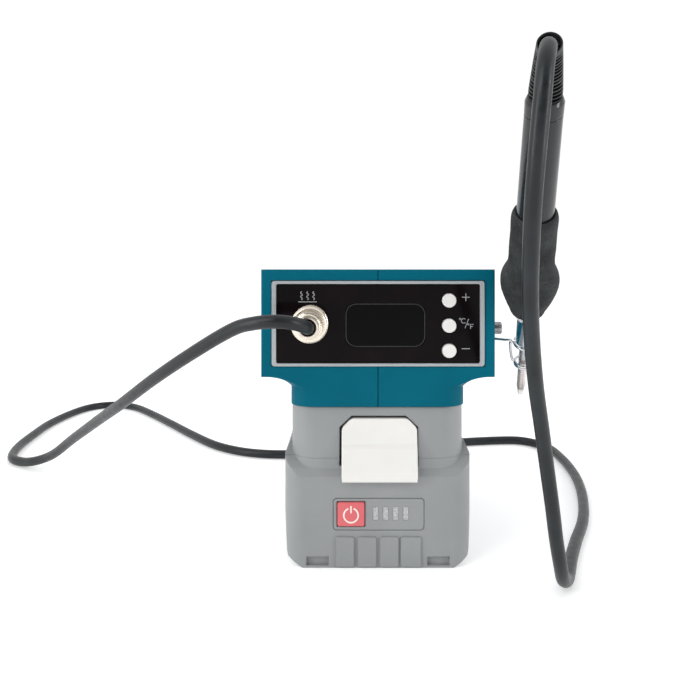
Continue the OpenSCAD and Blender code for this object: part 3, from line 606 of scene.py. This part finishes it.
def light_guide():
    """Milky light guide."""
    f = Finish("light_guide", soft=0.1)
    f.colour(f.mix(f.span(f.noise(0.0006, 3), 0.35, 0.65, 0, 1), (0.36, 0.37, 0.38), (0.5, 0.5, 0.5)))
    f.rough(f.span(f.noise(0.0006, 2), 0.3, 0.7, 0.2, 0.35))
    f.relief(f.noise(0.0003, 2), 0.00002)
    return f.material


def board():
    """Green solder mask with a faint track pattern."""
    f = Finish("circuit_board")
    tracks = f.span(f.cells(0.0022, feature="DISTANCE_TO_EDGE"), 0.03, 0.06, 1, 0)
    f.colour(f.mix(tracks, (0.005, 0.09, 0.035), (0.015, 0.17, 0.07)))
    f.rough(f.span(f.noise(0.002, 2), 0.3, 0.7, 0.25, 0.4))
    f.relief(tracks, 0.00003)
    return f.material


def sleeve_blue():
    """Shrink sleeve of the cells."""
    f = Finish("cell_sleeve")
    f.colour(f.mix(f.span(f.noise(0.01, 4), 0.35, 0.7, 0, 1), (0.03, 0.12, 0.3), (0.05, 0.17, 0.38)))
    f.rough(f.span(f.noise(0.004, 3), 0.3, 0.7, 0.25, 0.4))
    f.relief(f.noise(0.003, 3), 0.00005)
    return f.material


silver = panel_silver()
panel_black = gloss_black("panel_black", (0.0032, 0.0025, 0.003), (0.008, 0.0045, 0.005), 0.16)
window_black = gloss_black("window_black", (0.0015, 0.0015, 0.0018), (0.0025, 0.0025, 0.003), 0.09)
ink = printed("printed_ink", (0.34, 0.35, 0.36), (0.26, 0.27, 0.28))
faint_ink = printed("window_line", (0.035, 0.042, 0.04), (0.02, 0.025, 0.024))
cream_ink = printed("button_mark", (0.9, 0.82, 0.76), (0.8, 0.7, 0.66))
nickel = turned_metal("nickel", (0.86, 0.78, 0.67), (0.74, 0.66, 0.56), 0.18, 0.32)
steel = drawn_metal("steel", (0.78, 0.78, 0.79), (0.6, 0.6, 0.62), 0.16, 0.3)
chrome = drawn_metal("sleeve_chrome", (0.6, 0.66, 0.7), (0.42, 0.5, 0.56), 0.08, 0.2)
screw_steel = drawn_metal("screw_steel", (0.34, 0.34, 0.35), (0.2, 0.2, 0.21), 0.2, 0.36)
brass = drawn_metal("contact_metal", (0.8, 0.62, 0.34), (0.62, 0.47, 0.26), 0.2, 0.36)
foam_black = foam()
boot_black = boot_rubber()
rubber = cord_rubber()
tip_finish = tip_metal()
guide = light_guide()
green_board = board()
sleeve = sleeve_blue()


# ---- camera ----

camera = bpy.data.objects.new("camera", bpy.data.cameras.new("camera"))
camera.data.lens = 37.65
camera.data.sensor_width = 36
camera.data.shift_y = -0.143  # the picture's middle lies below the level line of sight
camera.location = at(-11.5, -300, 130.3) * MM
camera.rotation_euler = (math.radians(90), 0, 0)
scene.collection.objects.link(camera)
scene.camera = camera


# ---- housing and panel ----

rounded("housing_left", 0, teal)
rounded("housing_right", 0, teal)
rounded("panel_frame", 0.2, silver)
rounded("front_panel", 0.12, panel_black)
rounded("display_lens", 0.1, window_black)
for name in ("button_plus", "button_unit", "button_minus"):
    rounded(name, 0.4, white_plastic, segments=3)
rounded("housing_screws", 0.15, screw_steel)

panel_low, panel_high = corners("front_panel")
face_y = panel_low.y
button_places = [centre(name) for name in ("button_plus", "button_unit", "button_minus")]
mark_x = button_places[0].x + 6.9


def panel_marks():
    """Plus, degree units and minus beside the buttons, and three heat waves in the corner."""
    bm = bmesh.new()
    z = button_places[0].z + 1.3
    add_stroke(bm, [(mark_x - 1.5, z), (mark_x + 1.5, z)], 0.31, face_y, 0.05)
    add_stroke(bm, [(mark_x, z - 1.5), (mark_x, z + 1.5)], 0.31, face_y, 0.06)
    z = button_places[2].z + 0.8
    add_stroke(bm, [(mark_x - 1.6, z), (mark_x + 1.6, z)], 0.31, face_y, 0.05)
    x = mark_x + 0.2
    z = button_places[1].z + 0.8
    add_stroke(bm, arc(x - 2.55, z + 1.9, 0.36, 0, 350, 12), 0.2, face_y, 0.05)
    add_stroke(bm, arc(x - 1.1, z + 1.1, 0.95, 50, 310, 12), 0.3, face_y, 0.05)
    add_stroke(bm, [(x - 0.55, z - 1.9), (x + 0.95, z + 1.9)], 0.24, face_y, 0.06)
    add_stroke(bm, arc(x + 0.85, z - 0.35, 0.33, 0, 350, 12), 0.2, face_y, 0.05)
    add_stroke(bm, [(x + 1.7, z - 2.1), (x + 1.7, z - 0.3), (x + 2.9, z - 0.3)], 0.28, face_y, 0.05)
    add_stroke(bm, [(x + 1.7, z - 1.15), (x + 2.6, z - 1.15)], 0.28, face_y, 0.06)
    for k in range(3):
        x = -31.4 + 2.5 * k
        wave = [(x + 0.42 * math.sin(s * 1.05), 109.9 + 0.27 * s) for s in range(13)]
        add_stroke(bm, wave, 0.34, face_y, 0.05)
    add_stroke(bm, [(-32.6, 109.0), (-25.2, 109.0)], 0.34, face_y, 0.05)
    return piece("panel_marks", bm, "station", ink)


def window_line():
    """Thin printed line round the display window."""
    low, high = corners("display_lens")
    mid = (low + high) / 2
    bm = bmesh.new()
    wide = high.x - low.x
    tall = high.z - low.z
    outer = rounded_rect(mid.x, mid.z, wide + 0.1, tall + 0.1, 4.3)
    inner = rounded_rect(mid.x, mid.z, wide - 0.4, tall - 0.4, 4.05)
    add_ring_plate(bm, outer, inner, face_y, face_y - 0.04)
    return piece("window_line", bm, "station", faint_ink)


panel_marks()
window_line()


# ---- socket and plug ----

plug = centre("plug_ring")


def on_plug(x, y, h):
    """A point about the plug's axis, h being its y in the record's frame, growing backwards."""
    return Vector((plug.x + x, h, plug.z + y))


def knurled(teeth, depth, bands, bore_side):
    """Relief of straight teeth on the bands of a turned part, outside the radius bore_side."""
    def relief(r, h, angle):
        for low, high in bands:
            if low < h < high and r > bore_side:
                wave = (angle * teeth / (2 * math.pi)) % 1
                return -depth * (1 - abs(2 * wave - 1))
        return 0
    return relief


def plug_ring():
    """Coupling ring with two knurled bands."""
    low, high = corners("plug_ring")
    r = (high.x - low.x) / 2
    y = low.y
    outline = [(5.05, y), (r - 0.9, y), (r - 0.35, y + 0.5), (r - 0.35, y + 1.1), (r, y + 1.3), (r, y + 3.3),
               (r - 0.4, y + 3.5), (r - 0.4, y + 6.1), (r, y + 6.3), (r, y + 8.9), (r - 0.35, y + 9.2),
               (r - 0.35, y + 9.6), (5.95, y + 9.6), (5.95, y + 1.5), (5.05, y + 1.5)]
    bm = bmesh.new()
    relief = knurled(44, 0.22, [(y + 1.25, y + 3.35), (y + 6.25, y + 8.95)], 6.9)
    add_lathe(bm, eased(outline, 0.14), on_plug, 176, relief)
    return piece("plug_ring_shown", bm, "plug_ring", nickel, ["plug_ring"])


def plug_shell():
    """Plug's body with its grip grooves."""
    y = corners("plug_shell")[0].y
    outline = [(3.6, y), (4.45, y), (4.9, y + 0.4), (4.9, y + 1.2), (5.5, y + 1.35), (5.5, y + 2.6),
               (5.25, y + 2.8), (5.25, y + 3.2), (5.5, y + 3.4), (5.5, y + 4.2), (5.25, y + 4.4),
               (5.25, y + 4.8), (5.5, y + 5.0), (5.5, y + 7.2), (4.95, y + 7.5), (4.84, y + 18),
               (3.6, y + 18)]
    bm = bmesh.new()
    add_lathe(bm, eased(outline, 0.12), on_plug, 96)
    return piece("plug_shell_shown", bm, "station", nickel, ["plug_shell"])


ring_piece = plug_ring()
shell_piece = plug_shell()
clamp_piece = rounded("plug_clamp", 0.25, nickel)
insert_piece = rounded("plug_insert", 0.15, black_plastic)
rounded("socket_body", 0.2, nickel)
rounded("socket_nut", 0.2, nickel)


# ---- battery ----

rounded("battery_lower_case", 0, pack_grey)
rounded("battery_upper_case", 0, pack_grey)
rounded("battery_latch", 0.5, white_plastic, segments=3, angle=20)
rounded("battery_button", 0.4, red_plastic, segments=3)
rounded("gauge_plate", 0.15, pack_grey)
rounded("battery_screws", 0.15, screw_steel)


def power_mark():
    """Raised power sign on the gauge's button."""
    low, high = corners("battery_button")
    mid = (low + high) / 2
    bm = bmesh.new()
    add_stroke(bm, arc(mid.x, mid.z - 0.35, 2.95, 115, 425, 40), 0.62, low.y, 0.1)
    add_stroke(bm, [(mid.x, mid.z + 0.7), (mid.x, mid.z + 3.3)], 0.6, low.y, 0.1)
    return piece("power_mark", bm, "battery_button", cream_ink)


def gauge_lenses():
    """The four light guides with a slanted prism pattern on their faces."""
    low, high = corners("gauge_lights")
    pitch = (high.x - low.x - 2) / 3
    bm = bmesh.new()
    across = 14
    up = 40
    for i in range(4):
        x0 = low.x + i * pitch
        grid = []
        for a in range(across + 1):
            row = []
            for b in range(up + 1):
                u = a / across
                v = b / up
                rim = min(u, 1 - u, v * 2.6, (1 - v) * 2.6)
                ridge = 0.13 * abs((v * 5 + u * 1.2) % 1 * 2 - 1)
                y = low.y + 0.16 - min(ridge, 0.13) * min(1, rim * 8) - 0.03 * min(1, rim * 8)
                row.append(bm.verts.new((x0 + 2 * u, y, low.z + (high.z - low.z) * v)))
            grid.append(row)
        for a in range(across):
            for b in range(up):
                bm.faces.new((grid[a][b], grid[a + 1][b], grid[a + 1][b + 1], grid[a][b + 1]))
        rim = [grid[a][0] for a in range(across + 1)] + [grid[across][b] for b in range(1, up + 1)]
        rim += [grid[a][up] for a in range(across - 1, -1, -1)] + [grid[0][b] for b in range(up - 1, 0, -1)]
        backs = [bm.verts.new((v.co.x, high.y, v.co.z)) for v in rim]
        for k in range(len(rim)):
            n = (k + 1) % len(rim)
            bm.faces.new((rim[k], rim[n], backs[n], backs[k]))
        bm.faces.new(backs)
    return piece("gauge_lenses", bm, "battery", guide, ["gauge_lights"])


def latch_springs():
    """Two coil springs for the latch."""
    middle_y = 3.7
    coil_r = 1.8
    wire_r = 0.28
    turns = 6
    steps = 30  # points in a turn
    low_z = 41.8
    high_z = 55.4
    bm = bmesh.new()
    for middle_x in (-8.4, 9.6):
        line = []
        for k in range(turns * steps + 1):
            angle = 2 * math.pi * k / steps
            z = low_z + (high_z - low_z) * k / (turns * steps)
            y = middle_y + coil_r * math.sin(angle)
            line.append(at(middle_x + coil_r * math.cos(angle), y, z))
        add_tube(bm, line, wire_r, 12)
    obj = piece("latch_springs_shown", bm, None, steel, ["latch_springs"])
    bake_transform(obj)
    return obj


power_mark()
gauge_lenses()
latch_springs()


# ---- holder ----

def circle_line(r, t, start, end, count):
    """Points of an arc about the iron's axis, angles in degrees."""
    out = []
    for k in range(count + 1):
        angle = math.radians(start + (end - start) * k / count)
        out.append(on_iron(r * math.cos(angle), r * math.sin(angle), t))
    return out


def holder_wire():
    """Bent wire: an eye under the screw, an arm, and two rings that hold the iron's nose."""
    eye = at(48.72, 20, 96.2)
    eye_r = 2.25
    upper_r = 4.25
    lower_r = 3.5
    elbow = on_iron(0, -6, 37.3)
    bm = bmesh.new()
    turn = []
    for k in range(25):
        angle = math.radians(-150 + 330 * k / 24)
        turn.append(eye + Vector((0, eye_r * math.cos(angle), eye_r * math.sin(angle))))
    drop = [at(48.72, 17.75, 94.2), at(48.74, 17.75, 92.8), at(49.3, 18.0, 91.9)]
    arm = [drop[-1].lerp(elbow, k / 6) for k in range(1, 6)]
    upper = circle_line(upper_r, 36.2, -90, 250, 30)
    bend = [elbow + Vector((0, 0, 0.1)), on_iron(0.4, -5.1, 36.35)]
    path = turn + drop + arm + bend + upper
    add_tube(bm, smooth_line(path, 0.5), WIRE_R, 12)
    leg = [on_iron(-0.1, -5.6, 36.3), on_iron(0, -5.9, 35.2), on_iron(0, -5.7, 32), on_iron(0, -5.1, 27),
           on_iron(0, -4.7, 25), on_iron(0.3, -4.2, 24.2)]
    coil = []
    for k in range(57):
        swept = 640 * k / 56
        angle = math.radians(-90 + swept)
        t = 24 - 1.25 * swept / 360
        coil.append(on_iron(lower_r * math.cos(angle), lower_r * math.sin(angle), t))
    add_tube(bm, smooth_line(leg + coil, 0.5), WIRE_R, 12)
    return piece("holder_wire_shown", bm, "station", steel, ["holder_wire"])


holder_wire()
rounded("holder_screw", 0.25, screw_steel)
rounded("holder_washer", 0.12, steel)


# ---- iron ----

def foam_grip():
    """Foam guard: thick rolled rim, straight grip, flared bulb and a fluted nose."""
    outline = [(6.35, 57), (6.75, 57), (7.05, 57.3), (7.75, 60), (9.05, 63.6), (10.2, 67), (11.05, 70),
               (11.35, 72.6), (11.35, 75.2), (11.0, 77.4), (10.3, 79.2), (9.5, 80.9), (8.95, 82.8), (8.7, 86),
               (8.6, 95), (8.6, 105.6), (8.35, 107.2), (7.8, 108.2), (7.2, 108.5), (6.75, 108.1), (6.5, 107),
               (6.4, 104), (6.35, 80), (6.35, 57.5)]
    profile = finer(eased(outline, 0.7), 0.75)

    def relief(r, h, angle):
        if r < 6.6:
            return 0
        place = Vector((math.cos(angle) * r, math.sin(angle) * r, h))
        uneven = 0.16 * noise.noise(place * 0.16) + 0.06 * noise.noise(place * 0.9)
        flute = 0
        if 57 < h < 63:
            fade = min(1, (h - 57) / 0.8) * min(1, (63 - h) / 3)
            flute = -0.5 * fade * max(0, math.sin(angle * 26)) ** 2
        return uneven + flute

    bm = bmesh.new()
    add_lathe(bm, profile, on_iron, 156, relief)
    obj = piece("foam_grip_shown", bm, "iron", foam_black, ["foam_grip"], sharp=80)
    return obj


def nose_ferrule():
    """Bright fluted cone between the foam and the sleeve."""
    outline = [(3.9, 52.6), (4.4, 52.6), (4.65, 52.95), (6.15, 56.8), (6.1, 57), (3.9, 57)]
    profile = finer(outline, 0.25)

    def relief(r, h, angle):
        if r < 4.3 or not 52.7 < h < 56.6:
            return 0
        wave = (angle * 18 / (2 * math.pi)) % 1
        fade = min(1, (h - 52.7) / 0.5) * min(1, (56.6 - h) / 0.6)
        return -0.42 * fade * max(0, 1 - abs(wave - 0.5) * 3.4)

    bm = bmesh.new()
    add_lathe(bm, profile, on_iron, 180, relief)
    return piece("nose_ferrule_shown", bm, "iron", steel, ["nose_ferrule"])


def on_boot(x, y, s):
    """A point beside the boot's middle line, s along it from the start of the bend."""
    a = max(0, min(s / BOOT_BEND_R, BOOT_BEND))
    rest = s - a * BOOT_BEND_R
    along = BOOT_BEND_R * (1 - math.cos(a)) + x * math.cos(a) + rest * math.sin(a)
    up = BOOT_BEND_R * math.sin(a) - x * math.sin(a) + rest * math.cos(a)
    turned = Matrix.Rotation(BOOT_TURN, 4, "Z") @ Vector((along, y, up))
    return on_iron(turned.x, turned.y, BOOT_T + turned.z)


def strain_relief():
    """Slotted rubber boot that bends with the cord: a smooth spine on each side and an open mouth."""
    bend = BOOT_BEND_R * BOOT_BEND
    slots = 14
    pitch = (bend + 0.6) / slots
    outline = [(3.5, -7.4), (3.5, -2.4), (5.15, -2.3), (5.4, -2.0), (5.4, 0.2), (3.95, bend - 0.6),
               (3.9, bend + 0.3), (3.75, bend + 0.65), (3.45, bend + 0.65), (3.32, bend + 0.4),
               (3.05, bend - 2), (2.9, bend - 3.3), (0.6, bend - 3.4), (0.6, -7.4)]

    def relief(r, h, angle):
        if r < 3.6 or not -2.1 < h < bend - 1.5:
            return 0
        wave = ((h + 2.1) / pitch) % 1
        slot = max(0.0, min(1.0, (0.3 - abs(wave - 0.5)) / 0.08))
        right = abs(math.degrees(angle) - 90)
        left = abs(math.degrees(angle) - 270)
        spine = min(1.0, max(0.0, (right - 15) / 8)) * min(1.0, max(0.0, (left - 8) / 8))
        return -min(1.5, r - 2.75) * slot * spine

    bm = bmesh.new()
    add_lathe(bm, finer(outline, 0.17), on_boot, 96, relief)
    return piece("strain_relief_shown", bm, "iron", boot_black, ["strain_relief"], sharp=60)


foam_grip()
nose_ferrule()
strain_relief()
rounded("handle_shell", 0.25, handle_black, segments=3)
rounded("handle_collar", 0.4, handle_black, segments=3)
rounded("nose_sleeve", 0.15, chrome)
rounded("tip_cartridge", 0.12, tip_finish)


# ---- cord ----

def cord():
    """The whole lead from the boot to the plug, resting on the floor where it lies."""
    line = smooth_line([at(*p) for p in HANGING + LYING], 2)
    low = CORD_D / 2 + 0.05
    line = [Vector((p.x, p.y, max(p.z, low))) for p in line]
    bm = bmesh.new()

    def radius(i, angle):
        return CORD_D / 2 * (1 + 0.006 * math.sin(i * 0.11) + 0.004 * math.sin(i * 0.043 + 2 * angle))

    add_tube(bm, line, radius, 20)
    obj = piece("cord", bm, None, rubber, ["cord_hanging", "cord_lying"], sharp=60)
    # measured along x and z together, the plug lies before the start and the boot about at the end
    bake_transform(obj)
    return obj


cord()


# ---- what is inside ----

INSIDE = {
    "display_module": black_plastic, "control_board": green_board, "tact_switches": black_plastic,
    "board_standoffs": brass, "board_screws": screw_steel, "socket_insert": black_plastic,
    "socket_pins": brass, "terminal_block": black_plastic, "terminal_blades": brass, "battery_cells": sleeve,
    "cell_combs": black_plastic, "cell_links": steel, "battery_board": green_board, "battery_contacts": brass,
    "gauge_board": green_board, "contact_carrier": black_plastic,
}
for name, finish in INSIDE.items():
    for slot in nodes[name].material_slots:
        slot.material = finish


# ---- floor and light ----

def floor():
    """Wide, pale, plain floor, lightened by a glow of its own."""
    f = Finish("studio_floor")
    f.colour(f.mix(f.span(f.noise(0.4, 3), 0.3, 0.7, 0, 1), (0.87, 0.875, 0.88), (0.89, 0.895, 0.9)))
    f.rough(f.span(f.noise(0.05, 3), 0.3, 0.7, 0.75, 0.85))
    f.shader.inputs["Emission Color"].default_value = (1, 1, 1, 1)
    f.shader.inputs["Emission Strength"].default_value = 0.3
    f.relief(f.noise(0.004, 2), 0.00005, 0.2)
    bm = bmesh.new()
    bmesh.ops.create_grid(bm, x_segments=24, y_segments=24, size=12)
    mesh = bpy.data.meshes.new("floor")
    bm.to_mesh(mesh)
    bm.free()
    mesh.materials.append(f.material)
    obj = bpy.data.objects.new("floor", mesh)
    scene.collection.objects.link(obj)


def soft_light(name, place, aim, size, power):
    """A white area light, places in metres, power in watts."""
    light = bpy.data.objects.new(name, bpy.data.lights.new(name, "AREA"))
    light.data.shape = "RECTANGLE"
    light.data.size = size[0]
    light.data.size_y = size[1]
    light.data.energy = power
    light.location = place
    light.rotation_euler = (Vector(aim) - Vector(place)).to_track_quat("-Z", "Y").to_euler()
    scene.collection.objects.link(light)


def studio_world():
    """White surroundings, darker in front, as behind a photographer."""
    world = bpy.data.worlds.new("studio")
    scene.world = world
    world.use_nodes = True
    tree = world.node_tree
    sky = tree.nodes["Background"]
    sky.inputs["Color"].default_value = (1, 1, 1, 1)
    place = tree.nodes.new("ShaderNodeTexCoord")
    split = tree.nodes.new("ShaderNodeSeparateXYZ")
    tree.links.new(place.outputs["Generated"], split.inputs["Vector"])
    ramp = tree.nodes.new("ShaderNodeMapRange")
    ramp.interpolation_type = "SMOOTHSTEP"
    ramp.inputs["From Min"].default_value = -0.85
    ramp.inputs["From Max"].default_value = -0.25
    ramp.inputs["To Min"].default_value = 0.2
    ramp.inputs["To Max"].default_value = 1.02
    tree.links.new(split.outputs["Y"], ramp.inputs["Value"])
    tree.links.new(ramp.outputs["Result"], sky.inputs["Strength"])


floor()
studio_world()
middle = (0.0, 0.0, 0.09)
soft_light("key", (-0.62, -0.75, 0.75), middle, (0.4, 0.5), 3)
soft_light("left strip", (-0.85, -0.45, 0.2), middle, (0.16, 0.8), 4)
soft_light("right strip", (0.85, -0.45, 0.2), middle, (0.16, 0.8), 4)
scene.view_settings.view_transform = "Standard"
